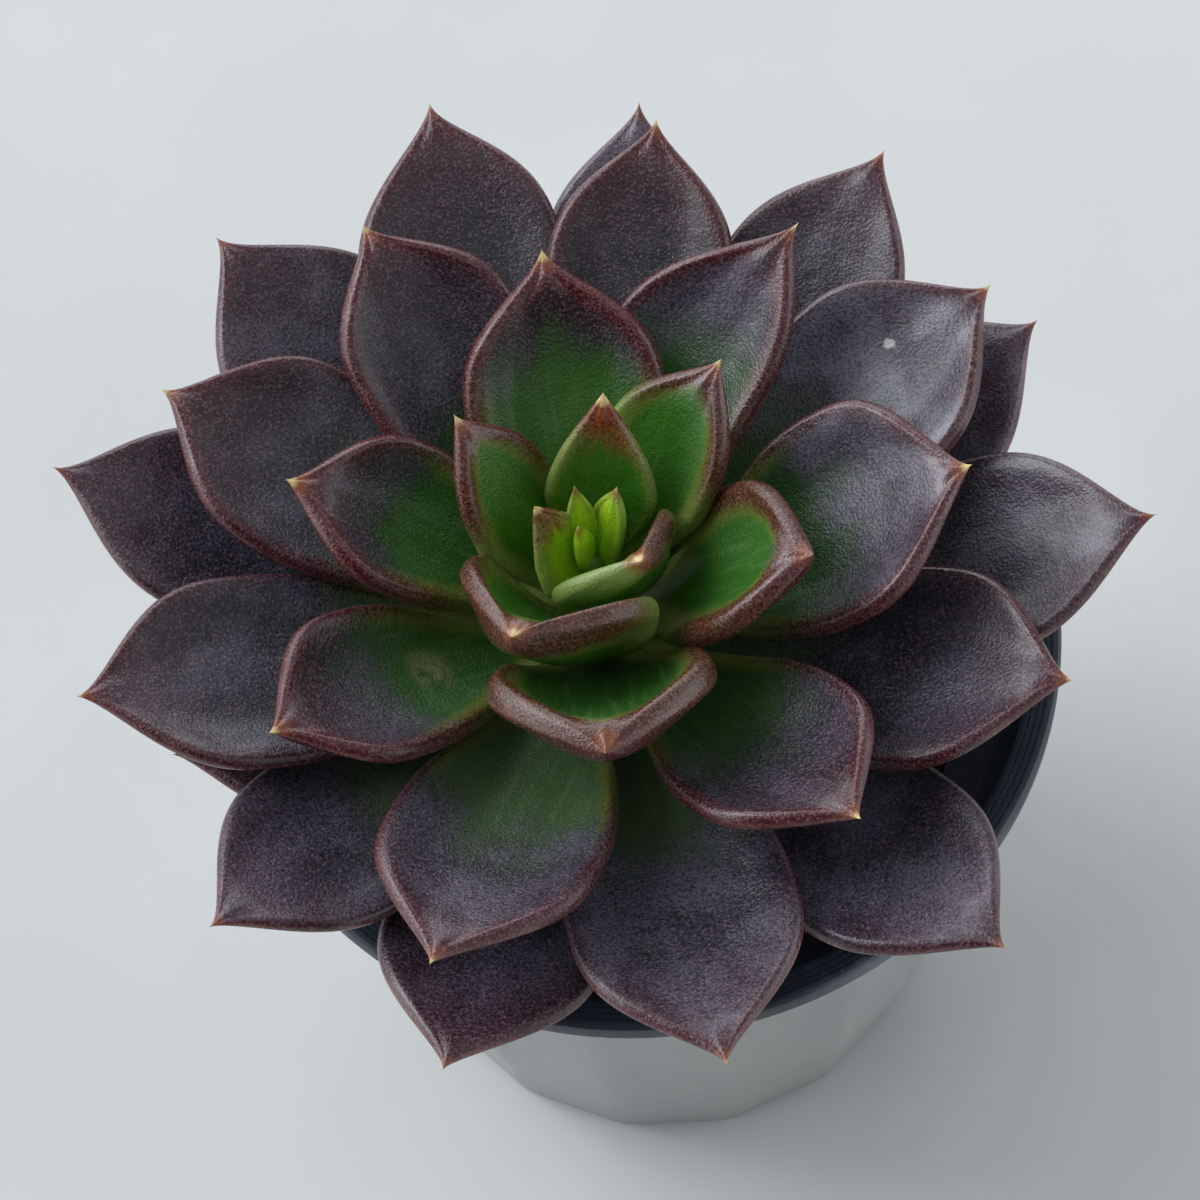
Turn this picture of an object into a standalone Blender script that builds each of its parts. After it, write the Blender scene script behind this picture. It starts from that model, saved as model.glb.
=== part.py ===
"""Potted echeveria: a rosette of thick pointed leaves on a short stem.

The stem stands in the soil of a round black nursery pot, which hangs by its
collar in a faceted pot that tapers to its foot. Metres, Z up. The origin is
the centre of the faceted pot's foot, on the surface that it stands on.
"""
import math

import bmesh
import bpy
import numpy as np

MM = 0.001

# Faceted pot: corner radius at heights above the foot, and its wall.
FACETS = 16
FACET_TURN = -39.7
OUTER_PROFILE = ((0.0, 34.8), (1.0, 35.8), (31.0, 40.2), (52.0, 42.1), (67.0, 43.3), (67.7, 43.0))
OUTER_WALL = 2.4
OUTER_FLOOR = 3.0
OUTER_FLOOR_R = 33.6
OUTER_LIP_BEVEL = 0.6

# Round nursery pot: flange on top, a collar below it, and a slimmer body.
RIM_Z = 80.0
RIM_R = 50.0
RIM_INNER_R = 46.4
FLANGE_DEEP = 3.0
COLLAR_R = 47.0
COLLAR_FOOT_R = 44.6
COLLAR_Z = 68.0
BODY_R = 39.8
BODY_FOOT_R = 31.0
BODY_FOOT_Z = 5.0
POT_WALL = 1.1
RIM_ROUNDING = 0.7

# Soil inside the nursery pot, with a plain hole for the stem.
GAP = 0.3
SOIL_TOP = 66.6
SOIL_FLOOR = BODY_FOOT_Z + POT_WALL + GAP
SOIL_HEAP = ((-1.4, 38.0), (-0.8, 36.0), (-0.2, 24.0), (0.0, 12.0), (0.0, 0.0))
HOLE_R = 4.9
HOLE_DEEP = 9.0

# Stem: its place, and its radius at heights above the rim of the nursery pot. The bud
# in the heart of the rosette, which stands on it, is given the same way.
STEM_X = -4.0
STEM_Y = 0.0
STEM_PROFILE = ((-22.1, 4.0), (-21.6, 4.6), (2.0, 4.6), (5.5, 4.35), (8.5, 3.75),
                (11.2, 2.7), (13.0, 1.8), (13.6, 1.3), (13.7, 0.0))
BUD_PROFILE = ((14.0, 0.0), (14.0, 1.3), (15.2, 1.7), (17.5, 1.5), (19.5, 0.8), (20.0, 0.0))

# Leaves, lowest first, in the order of the spiral. Angles in degrees, lengths in mm,
# heights above the rim of the nursery pot. bend is how far the leaf curls up along its
# length, cup is how deep its face is hollowed, turn shifts its root round the stem,
# sway bows it sideways and roll tilts it about its own length. The rule in leaf_values
# gives each leaf its thickness, thick in its middle and rim at its two edges, and its droop,
# which is how far those edges roll over, as a share of rim.
LEAVES = (
    # azimuth, reach, tip height, width, bend, cup, turn, sway, roll
    (193, 52, 9.6, 24, 28, 0.14, 0, 0, 0),
    (247, 61, 15.8, 26, 28, 0.20, 0, 0, 0),
    (24, 61, 16, 24, 30, 0.13, 0, 0, 0),
    (159, 65, 17.8, 24, 24, 0.18, 0, 0, 0),
    (306, 65, 18, 24.5, 24, 0.20, 0, 0, 0),
    (77.5, 63, 18, 21.5, 26, 0.18, 0, 0, 0),
    (218, 60, 18.4, 23.6, 22, 0.22, 0, 0, 0),
    (356, 64, 20, 25.5, 26, 0.21, 0, 0, 0),
    (128, 63, 20.4, 26, 24, 0.18, 0, 0, 0),
    (276, 62, 20, 26, 20, 0.27, 0, 0, 0),
    (49, 63, 21.6, 23.2, 26, 0.18, 0, 0, 0),
    (188, 60, 21.6, 24.9, 16, 0.26, 0, 0, 0),
    (335, 56, 21, 26, 16, 0.26, -6, -0.02, 0),
    (100.4, 63, 23.8, 25, 16, 0.22, 0, 0.045, 0),
    (244, 53, 26, 25, 22, 0.31, 0, 0.01, 0),
    (28, 57, 22.4, 25.7, 18, 0.29, 0, 0, 0),
    (148, 55, 22, 25, 18, 0.28, 0, 0, 0),
    (302, 46, 27.9, 22.8, 24, 0.35, 0, 0, 0),
    (74.2, 55, 27, 22.2, 22, 0.30, 0, 0, 0),
    (207, 42, 28, 21, 28, 0.37, 0, -0.03, 0),
    (0, 43, 30, 27, 26, 0.35, -10, 0, 0),
    (116, 47, 30, 22, 28, 0.34, 0, 0, 0),
    (267.1, 28, 33, 25.6, 22, 0.45, 0, 0, 0),
    (49, 44, 31.3, 21, 28, 0.36, 0, 0.10, 0),
    (162, 34, 30, 19.8, 30, 0.36, 0, -0.03, 0),
    (338.2, 24.8, 33, 20.2, 26, 0.41, -12, 0.05, 0),
    (91, 34, 32, 23.5, 32, 0.38, 0, 0, 0),
    (236, 17, 34, 23, 12, 0.60, 20, 0, 15),
    (41.7, 23, 34, 16, 20, 0.36, 0, 0.03, 0),
    (312, 7.5, 30, 17, 10, 0.50, 18, 0, 0),
    (134.2, 18, 34.5, 13.7, 10, 0.22, 30, 0, 14),
    (73.4, 13.5, 34, 12.9, 8, 0.32, 0, 0, 6),
    (156, 6, 30, 11, 8, 0.20, 0, 0, -30),
    (45, 5.6, 29, 4.6, 4, 0.20, 0, 0, 0),
    (100, 4.5, 30, 3.6, 4, 0.25, 0, 0, 0),
    (150, 1.2, 27.4, 3.6, 4, 0.20, 0, 0, 0),
)
# Leaves whose root, thickness or outline differs from the rule in leaf_values.
OWN_VALUES = {
    1: {"claw": 0.18},
    2: {"claw": 0.18},
    4: {"claw": 0.18},
    19: {"root_z": 5.8},
    22: {"root_z": 7.8},
    23: {"root_z": 7.6, "thick": 4.8, "rim": 4.4, "droop": 0.4, "shoulder": 2.4, "point": 1.1},
    24: {"root_z": 8.0, "widest": 0.5},
    25: {"root_z": 9.4},
    26: {"root_r": 4.2, "root_z": 9.8, "thick": 4.2, "rim": 3.4, "droop": 0.4, "point": 1.4},
    27: {"root_z": 9.8},
    28: {"root_r": 4.2, "thick": 4.4, "rim": 4.0, "shoulder": 2.4, "point": 1.1},
    29: {"root_r": 3.9, "root_z": 11.4},
    30: {"root_r": 3.0, "root_z": 13.0, "root_thick": 1.5, "thick": 3.0, "rim": 2.8,
         "shoulder": 2.4, "point": 1.1},
    31: {"claw": 0.28, "root_r": 4.4, "root_z": 11.8, "thick": 2.8, "rim": 2.5},
    32: {"claw": 0.3, "root_r": 2.9, "root_z": 13.2, "root_thick": 1.5, "thick": 2.6,
         "rim": 2.0, "widest": 0.42, "shoulder": 1.8, "point": 1.15},
    33: {"root_r": 1.1, "root_z": 15.2, "root_thick": 1.5, "rim": 1.2, "droop": 0.0,
         "widest": 0.3, "shoulder": 1.15, "point": 1.0},
    34: {"claw": 0.75, "root_r": 1.1, "root_z": 15.2, "root_thick": 1.5, "thick": 2.6,
         "droop": 0.0, "widest": 0.5},
    35: {"claw": 0.75, "root_r": 1.1, "root_z": 15.2, "root_thick": 1.5, "droop": 0.0, "widest": 0.45},
    36: {"root_r": 0.5, "root_z": 18.0, "thick": 1.8, "droop": 0.0, "shoulder": 1.8, "point": 1.2},
}
FIRST_HEART_LEAF = 33

# Where the rings of a leaf's mesh lie along it, and how many points each ring has.
STATIONS = (0, 0.12, 0.24, 0.36, 0.48, 0.58, 0.68, 0.77, 0.85, 0.92, 0.97)
RING = 12


for old in list(bpy.data.objects):
    bpy.data.objects.remove(old, do_unlink=True)


def material(name, colour, roughness, metallic=0.0):
    mat = bpy.data.materials.new(name)
    mat.use_nodes = True
    shader = mat.node_tree.nodes["Principled BSDF"]
    shader.inputs["Base Color"].default_value = (*colour, 1.0)
    shader.inputs["Roughness"].default_value = roughness
    shader.inputs["Metallic"].default_value = metallic
    return mat


OLD_LEAF = material("old_leaf", (0.075, 0.055, 0.070), 0.45)
YOUNG_LEAF = material("young_leaf", (0.060, 0.130, 0.035), 0.42)
HEART_LEAF = material("heart_leaf", (0.150, 0.330, 0.060), 0.42)
STEM_BARK = material("stem_bark", (0.120, 0.110, 0.050), 0.70)
POTTING_SOIL = material("potting_soil", (0.035, 0.024, 0.017), 0.95)
BLACK_PLASTIC = material("black_plastic", (0.014, 0.016, 0.022), 0.42)
GREY_GLAZE = material("grey_glaze", (0.520, 0.550, 0.540), 0.38)


def add_object(name, bm, mat, sharp_above=30.0):
    """Give the bmesh to a new object, in metres, shaded smooth except at sharp edges."""
    bmesh.ops.scale(bm, vec=(MM, MM, MM), verts=bm.verts)
    mesh = bpy.data.meshes.new(name)
    bm.to_mesh(mesh)
    bm.free()
    mesh.shade_smooth()
    mesh.set_sharp_from_angle(angle=math.radians(sharp_above))
    mesh.materials.append(mat)
    obj = bpy.data.objects.new(name, mesh)
    bpy.context.scene.collection.objects.link(obj)
    return obj


def turned(name, profile, mat, steps, turn=0.0, centre=(0.0, 0.0), sharp_above=30.0):
    """Turn a profile of (height, radius) points about an upright axis.

    A profile whose ends are off the axis closes on itself.
    """
    bm = bmesh.new()
    rings = []
    for height, radius in profile:
        if radius < 1e-6:
            rings.append([bm.verts.new((centre[0], centre[1], height))])
            continue
        ring = bmesh.ops.create_circle(bm, segments=steps, radius=radius)["verts"]
        for k, vert in enumerate(ring):
            angle = math.radians(turn) + 2 * math.pi * k / steps
            vert.co = (centre[0] + radius * math.sin(angle), centre[1] - radius * math.cos(angle), height)
        rings.append(ring)
    for edge in list(bm.edges):
        bm.edges.remove(edge)
    for low, high in zip(rings, rings[1:] + rings[:1]):
        if len(low) == 1 and len(high) == 1:
            continue
        for k in range(steps):
            after = (k + 1) % steps
            if len(low) == 1:
                bm.faces.new((low[0], high[after], high[k]))
            elif len(high) == 1:
                bm.faces.new((low[k], low[after], high[0]))
            else:
                bm.faces.new((low[k], low[after], high[after], high[k]))
    bmesh.ops.recalc_face_normals(bm, faces=bm.faces)
    return add_object(name, bm, mat, sharp_above)


def leaf_values(number):
    """All the sizes of one leaf, counted from 1 at the lowest."""
    azimuth, reach, tip_z, width, bend, cup, turn, sway, roll = LEAVES[number - 1]
    n = number - 1
    heart = number >= FIRST_HEART_LEAF
    values = dict(azimuth=azimuth, reach=reach, tip_z=tip_z, width=width, bend=bend, cup=cup,
                  turn=turn, sway=sway, roll=roll)
    values["thick"] = 2.2 if heart else 3.0 if n < 13 else 3.4 if n < 21 else 4.0
    values["rim"] = 1.6 if heart else 2.1 if n < 13 else 2.6 if n < 21 else 3.0
    values["droop"] = 0.25
    values["root_thick"] = 1.9
    values["widest"] = 0.35 if heart else 0.62 if n < 21 else 0.62 - 0.022 * (n - 21)
    values["claw"] = 0.60 if heart else 0.22 if n < 27 else 0.26
    values["root_r"] = 5.0 if n < 19 else 5.0 - 0.13 * (n - 19)
    values["root_z"] = -3.0 + 0.5 * n
    values["shoulder"] = 3.3 if n < 24 else 3.1
    values["point"] = 1.9 if n < 24 else 1.8
    values["fade"] = 12 if n < 22 else 30
    values.update(OWN_VALUES.get(number, {}))
    return values


def soft_least(first, second):
    """The smaller of two sizes, with a smooth change from one to the other."""
    return (max(first, 1e-6) ** -4.0 + max(second, 1e-6) ** -4.0) ** -0.25


def leaf_point(leaf, t, a):
    """Point of the leaf's skin at t along it, from root to tip, and angle a round its section."""
    azimuth = math.radians(leaf["azimuth"])
    root_azimuth = azimuth + math.radians(leaf["turn"])
    tip = np.array((STEM_X + leaf["reach"] * math.cos(azimuth),
                    STEM_Y + leaf["reach"] * math.sin(azimuth), leaf["tip_z"]))
    root = np.array((STEM_X + leaf["root_r"] * math.cos(root_azimuth),
                     STEM_Y + leaf["root_r"] * math.sin(root_azimuth), leaf["root_z"]))
    step = tip - root
    run = math.hypot(step[0], step[1])
    head = math.atan2(step[1], step[0])
    slope = math.atan2(step[2], run)
    half = math.radians(leaf["bend"]) / 2
    length = math.hypot(run, step[2]) * half / math.sin(half)
    radius = length / (2 * half)

    # The middle line is an arc that rises more and more steeply to the tip.
    angle = slope - half + 2 * half * t
    along = radius * (math.sin(angle) - math.sin(slope - half))
    rise = radius * (math.cos(slope - half) - math.cos(angle))
    outward = np.array((math.cos(head), math.sin(head), 0.0))
    sideways = np.array((-math.sin(head), math.cos(head), 0.0))
    upward = np.array((0.0, 0.0, 1.0))
    middle = root + along * outward + rise * upward
    middle = middle + leaf["sway"] * math.sin(math.pi * t) * length * sideways
    normal = math.cos(angle) * upward - math.sin(angle) * outward
    rolled = math.radians(leaf["roll"]) * min(t / 0.5, 1.0)
    side = sideways * math.cos(rolled) + normal * math.sin(rolled)
    face = normal * math.cos(rolled) - sideways * math.sin(rolled)

    # Outline: narrow at the root, widest past the middle, and drawn out to a point.
    narrows = 0.0
    if t < leaf["widest"]:
        share = leaf["claw"] + (1 - leaf["claw"]) * math.sin(math.pi / 2 * t / leaf["widest"]) ** 1.5
    else:
        past = (t - leaf["widest"]) / (1 - leaf["widest"])
        left = max(1 - past ** leaf["shoulder"], 0.0)
        share = left ** leaf["point"]
        narrows = leaf["shoulder"] * past ** (leaf["shoulder"] - 1)
        narrows = narrows * leaf["point"] * left ** (leaf["point"] - 1)
        narrows = narrows * leaf["width"] / 2 / (1 - leaf["widest"]) / length
    half_width = leaf["width"] / 2 * share

    # Section: a plate, thicker in the middle, between two thick round rims, which stay round
    # where the outline runs slantwise to the point.
    fade = 1 - 0.97 * max((t - 0.45) / 0.55, 0.0) ** leaf["fade"]
    swell = math.sin(math.pi / 2 * min(t / 0.45, 1.0)) ** 2
    rim_root = 0.7 * leaf["root_thick"]
    rim = soft_least((rim_root + (leaf["rim"] - rim_root) * swell) / 2 * fade, 0.6 * half_width)
    middle_half = (leaf["root_thick"] + (leaf["thick"] - leaf["root_thick"]) * swell) / 2 * fade
    middle_half = max(soft_least(middle_half, 0.7 * half_width), rim)
    rim_wide = soft_least(rim * math.sqrt(1 + narrows ** 2), 0.8 * half_width)
    flat_half = half_width - rim_wide
    folded = math.asin(min(abs(math.sin(a)), 1.0)) / (math.pi / 4)
    if folded < 1:
        across = flat_half + rim_wide * math.cos(folded * math.pi / 2)
        bulge = rim * math.sin(folded * math.pi / 2)
    else:
        across = flat_half * (2 - folded)
        bulge = rim + (middle_half - rim) * math.sin((folded - 1) * math.pi / 2)
    # The face is hollow, and its two sides rise to a crest and roll over at their very edge.
    outward_share = across / max(half_width, 1e-6)
    lift = math.sin(math.pi / 2 * outward_share ** 1.8) ** 2
    hollow = leaf["cup"] * half_width * (lift * min(max(t / 0.45, 0.25), 1.0) - 0.15)
    from_edge = half_width / 2 * (1 - outward_share ** 2)
    past_crest = max(1 - from_edge / (1.2 * leaf["rim"]), 0.0)
    hollow = hollow - leaf["droop"] * leaf["rim"] * swell * past_crest ** 2
    across = math.copysign(across, math.cos(a))
    bulge = math.copysign(bulge, math.sin(a))
    return middle + across * side + (bulge + hollow) * face


def add_leaf(name, number, mat):
    """A leaf starts as a ball: one pole is the middle of its root, the other is its tip."""
    leaf = leaf_values(number)
    bm = bmesh.new()
    bands = len(STATIONS) + 1
    bmesh.ops.create_uvsphere(bm, u_segments=RING, v_segments=bands, radius=1.0)
    for vert in bm.verts:
        band = round((math.pi - math.acos(max(-1.0, min(1.0, vert.co.z)))) / math.pi * bands)
        a = math.atan2(vert.co.y, vert.co.x)
        if band == 0:
            vert.co = (leaf_point(leaf, 0.0, 0.0) + leaf_point(leaf, 0.0, math.pi)) / 2
            vert.co.z = vert.co.z - leaf["cup"] * 0.25 * leaf["width"] / 2 * leaf["claw"]
        elif band == bands:
            vert.co = leaf_point(leaf, 1.0, 0.0)
        else:
            vert.co = leaf_point(leaf, STATIONS[band - 1], a)
        vert.co.z = vert.co.z + RIM_Z
    bmesh.ops.triangulate(bm, faces=bm.faces)
    bmesh.ops.recalc_face_normals(bm, faces=bm.faces)
    return add_object(name, bm, mat, 50.0)


def inner_radius(profile, wall):
    """The profile of a faceted pot's inside, as heights and corner radii."""
    inset = wall / math.cos(math.pi / FACETS)
    return [(height, radius - inset) for height, radius in profile]


# Faceted pot.
outside = list(OUTER_PROFILE)
inside = [(h, r) for h, r in inner_radius(OUTER_PROFILE, OUTER_WALL) if h > OUTER_FLOOR]
top_inside = (OUTER_PROFILE[-1][0], inside[-1][1] + OUTER_LIP_BEVEL)
outer_profile = [(0.0, 0.0)] + outside + [top_inside] + inside[-2::-1]
outer_profile = outer_profile + [(OUTER_FLOOR, OUTER_FLOOR_R), (OUTER_FLOOR, 0.0)]
turned("outer_pot", outer_profile, GREY_GLAZE, FACETS, FACET_TURN, sharp_above=8.0)

# Nursery pot.
nursery_profile = (
    (BODY_FOOT_Z, 0.0),
    (BODY_FOOT_Z, BODY_FOOT_R),
    (COLLAR_Z, BODY_R),
    (COLLAR_Z, COLLAR_FOOT_R),
    (RIM_Z - FLANGE_DEEP, COLLAR_R),
    (RIM_Z - FLANGE_DEEP, RIM_R),
    (RIM_Z - RIM_ROUNDING, RIM_R),
    (RIM_Z, RIM_R - RIM_ROUNDING),
    (RIM_Z, RIM_INNER_R + RIM_ROUNDING / 2),
    (RIM_Z - RIM_ROUNDING / 2, RIM_INNER_R),
    (RIM_Z - FLANGE_DEEP, COLLAR_R - POT_WALL),
    (COLLAR_Z + POT_WALL, COLLAR_FOOT_R - POT_WALL),
    (COLLAR_Z + POT_WALL, BODY_R - POT_WALL),
    (BODY_FOOT_Z + POT_WALL, BODY_FOOT_R - POT_WALL),
    (BODY_FOOT_Z + POT_WALL, 0.0),
)
turned("nursery_pot", nursery_profile, BLACK_PLASTIC, 64)


def soil_radius(height):
    """Radius of the soil against the nursery pot's wall."""
    share = (height - BODY_FOOT_Z) / (COLLAR_Z - BODY_FOOT_Z)
    return BODY_FOOT_R + (BODY_R - BODY_FOOT_R) * share - POT_WALL - GAP


# Soil: a filled bed whose top is a little heaped towards the plant.
soil_profile = [(SOIL_FLOOR, 0.0), (SOIL_FLOOR, soil_radius(SOIL_FLOOR))]
soil_profile += [(SOIL_TOP + height, radius) for height, radius in SOIL_HEAP]
soil = turned("soil", soil_profile, POTTING_SOIL, 48)
hole_bm = bmesh.new()
bmesh.ops.create_cone(hole_bm, cap_ends=True, segments=24, radius1=HOLE_R, radius2=HOLE_R,
                      depth=2 * HOLE_DEEP)
bmesh.ops.translate(hole_bm, vec=(STEM_X, STEM_Y, SOIL_TOP), verts=hole_bm.verts)
hole = add_object("stem_hole", hole_bm, POTTING_SOIL)
hole.hide_render = True
hole.display_type = "WIRE"
cut = soil.modifiers.new("stem_hole", "BOOLEAN")
cut.operation = "DIFFERENCE"
cut.object = hole

# Stem.
stem_profile = [(RIM_Z + height, radius) for height, radius in STEM_PROFILE]
turned("stem", [(stem_profile[0][0], 0.0)] + stem_profile, STEM_BARK, 20, centre=(STEM_X, STEM_Y),
       sharp_above=40.0)

# Leaves round the stem, and the heart of the rosette, whose leaves are one piece.
for number in range(1, FIRST_HEART_LEAF):
    mat = OLD_LEAF if number <= 24 else YOUNG_LEAF
    add_leaf("leaf_%02d" % number, number, mat)

bud = turned("growing_tip", [(RIM_Z + height, radius) for height, radius in BUD_PROFILE], HEART_LEAF, 16,
             centre=(STEM_X, STEM_Y), sharp_above=50.0)
for number in range(FIRST_HEART_LEAF, len(LEAVES) + 1):
    leaf = add_leaf("heart_leaf_%02d" % number, number, HEART_LEAF)
    leaf.hide_render = True
    leaf.display_type = "WIRE"
    join = bud.modifiers.new(leaf.name, "BOOLEAN")
    join.operation = "UNION"
    join.object = leaf
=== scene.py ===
"""Potted echeveria: the finishes and the fine shapes of the plant and its two pots."""
import math

import bmesh
import bpy
import numpy as np
from mathutils import Matrix, Vector, noise


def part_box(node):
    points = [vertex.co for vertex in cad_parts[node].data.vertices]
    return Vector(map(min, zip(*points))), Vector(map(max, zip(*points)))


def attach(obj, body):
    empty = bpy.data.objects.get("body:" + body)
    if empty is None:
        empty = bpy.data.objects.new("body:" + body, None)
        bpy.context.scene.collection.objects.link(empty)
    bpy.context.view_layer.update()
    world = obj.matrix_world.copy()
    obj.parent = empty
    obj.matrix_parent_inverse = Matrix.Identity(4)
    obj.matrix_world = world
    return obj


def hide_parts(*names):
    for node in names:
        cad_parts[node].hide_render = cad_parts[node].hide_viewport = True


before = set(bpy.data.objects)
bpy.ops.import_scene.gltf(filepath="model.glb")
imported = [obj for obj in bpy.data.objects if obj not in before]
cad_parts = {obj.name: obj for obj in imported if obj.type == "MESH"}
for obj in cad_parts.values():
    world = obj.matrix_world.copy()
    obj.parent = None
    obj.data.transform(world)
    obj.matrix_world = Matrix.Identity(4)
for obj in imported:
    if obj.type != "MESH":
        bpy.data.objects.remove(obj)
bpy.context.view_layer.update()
MM = 0.001

# The camera.
# A phone held over the plant, looking down at it from the front and tilted a little.
# The place and the tilt were worked out from the flange of the round pot.
RIM_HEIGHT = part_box("nursery_pot")[1][2]
LOOK_DOWN = math.radians(63.94)
LEAN = math.radians(-8.28)
EYE_FROM_RIM = 450 * MM
EYE_ASIDE = (-4.28 * MM, 3.39 * MM)
LENS_RATIO = 3808 / 1200

forward = Vector((0, math.cos(LOOK_DOWN), -math.sin(LOOK_DOWN)))
level_up = Vector((0, math.sin(LOOK_DOWN), math.cos(LOOK_DOWN)))
level_right = Vector((1, 0, 0))
right = level_right * math.cos(LEAN) + level_up * math.sin(LEAN)
up = level_up * math.cos(LEAN) - level_right * math.sin(LEAN)
eye = Vector((0, 0, RIM_HEIGHT)) - forward * EYE_FROM_RIM + right * EYE_ASIDE[0] + up * EYE_ASIDE[1]

lens = bpy.data.cameras.new("photo_camera")
lens.sensor_width = 36
lens.lens = lens.sensor_width * LENS_RATIO
lens.clip_start = 0.01
camera = bpy.data.objects.new("photo_camera", lens)
turn = Matrix((right, up, -forward)).transposed().to_4x4()
camera.matrix_world = Matrix.Translation(eye) @ turn
bpy.context.scene.collection.objects.link(camera)
bpy.context.scene.camera = camera
bpy.context.scene.view_settings.view_transform = "Standard"


# The floor and the light.
# A plain pale painted board in soft daylight. Most of it falls from a window behind the plant
# on the left and from the sky above that, and the rest comes back from pale walls all round.
FLOOR_WIDE = 3.0
# Where the daylight comes from: azimuth, height and spread in degrees, and strength.
DAYLIGHT = (
    (150, 42, 24, 5.40),
    (135, 30, 38, 0.95),
    (180, 52, 38, 0.52),
    (180, 8, 38, 2.18),
    (90, 8, 38, 1.87),
    (0, 8, 38, 1.83),
    (135, 8, 38, 0.92),
    (315, 8, 38, 0.92),
    (90, 30, 38, 0.78),
    (315, 72, 44, 0.54),
    (45, 30, 38, 0.50),
)
DAYLIGHT_COLOUR = (0.95, 1.00, 1.05)


def paint(red, green, blue):
    """A colour as it looks on a screen, 0 to 255, turned into the linear one that a shader takes."""
    linear = []
    for value in (red, green, blue):
        share = value / 255
        linear.append(share / 12.92 if share <= 0.04045 else ((share + 0.055) / 1.055) ** 2.4)
    return (*linear, 1.0)


class Wire:
    """The output of a shader node. Sums with it add Math nodes."""

    def __init__(self, finish, socket):
        self.finish = finish
        self.socket = socket

    def math(self, operation, first, second):
        return self.finish.add("Math", {"operation": operation}, {0: first, 1: second})

    def __add__(self, other):
        return self.math("ADD", self, other)

    def __sub__(self, other):
        return self.math("SUBTRACT", self, other)

    def __mul__(self, other):
        return self.math("MULTIPLY", self, other)

    def __truediv__(self, other):
        return self.math("DIVIDE", self, other)

    def __pow__(self, other):
        return self.math("POWER", self, other)

    def __rsub__(self, other):
        return self.math("SUBTRACT", other, self)

    __radd__ = __add__
    __rmul__ = __mul__

    def most(self, other):
        return self.math("MAXIMUM", self, other)

    def least(self, other):
        return self.math("MINIMUM", self, other)

    def rises(self, low, high):
        """0 below low and 1 above high, with a soft step between. Falls where low is the larger."""
        return self.finish.add("MapRange", {"interpolation_type": "SMOOTHSTEP"},
                               {"Value": self, "From Min": low, "From Max": high})


class Finish:
    """A material and the nodes that feed its skin."""

    def __init__(self, name):
        self.material = bpy.data.materials.new(name)
        self.material.use_nodes = True
        self.tree = self.material.node_tree
        self.skin = self.tree.nodes["Principled BSDF"]
        self.place = None

    def add(self, kind, settings=(), sockets=(), out=0):
        """Add a node, set what it does, feed its sockets, and give back its output."""
        node = self.tree.nodes.new("ShaderNode" + kind)
        for name, value in dict(settings).items():
            setattr(node, name, value)
        for name, value in dict(sockets).items():
            self.feed(node.inputs[name], value)
        return Wire(self, node.outputs[out])

    def feed(self, socket, value):
        if isinstance(value, Wire):
            self.tree.links.new(value.socket, socket)
        else:
            socket.default_value = value

    def wear(self, **sockets):
        """Set the skin's own sockets, such as Base_Color."""
        for name, value in sockets.items():
            self.feed(self.skin.inputs[name.replace("_", " ")], value)
        return self.material

    def where(self):
        """The place on the piece, in metres."""
        if self.place is None:
            self.place = self.add("TexCoord", out="Object")
        return self.place

    def attribute(self, name):
        return self.add("Attribute", {"attribute_name": name}, out="Fac")

    def grain(self, size_mm, detail=2.0, rough=0.5, stretch=(1, 1, 1)):
        """Cloudy noise whose patches are about that many millimetres wide, from 0 to 1."""
        place = self.where()
        if stretch != (1, 1, 1):
            place = self.add("Mapping", {}, {"Vector": place, "Scale": stretch})
        return self.add("TexNoise", {}, {"Vector": place, "Scale": 1 / (size_mm * MM), "Detail": detail,
                                         "Roughness": rough})

    def blend(self, share, first, second):
        """first where share is 0 and second where it is 1, as colours."""
        return self.add("Mix", {"data_type": "RGBA"}, {"Factor": share, "A": first, "B": second}, out=2)

    def bump(self, height, depth_mm):
        return self.add("Bump", {}, {"Height": height, "Distance": depth_mm * MM})


def to_object(name, bm, material, body="root", smooth_below=180.0):
    """Put a bmesh in millimetres into the scene as a piece that rides on the plant's one body."""
    bmesh.ops.scale(bm, vec=(MM, MM, MM), verts=bm.verts)
    mesh = bpy.data.meshes.new(name)
    bm.to_mesh(mesh)
    bm.free()
    mesh.shade_smooth()
    mesh.set_sharp_from_angle(angle=math.radians(smooth_below))
    mesh.materials.append(material)
    piece = bpy.data.objects.new(name, mesh)
    bpy.context.scene.collection.objects.link(piece)
    if body:
        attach(piece, body)
    return piece


board = Finish("painted_board")
board_mottle = board.grain(60, 3.0)
board_colour = board.blend(board_mottle.rises(0.35, 0.7), paint(210, 210, 209), paint(216, 216, 215))
board.wear(Base_Color=board_colour, Roughness=0.55 + board_mottle * 0.1, Specular_IOR_Level=0.3)
floor_bm = bmesh.new()
bmesh.ops.create_grid(floor_bm, x_segments=1, y_segments=1, size=FLOOR_WIDE / 2 / MM)
floor = to_object("floor", floor_bm, board.material, body=None)

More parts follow.
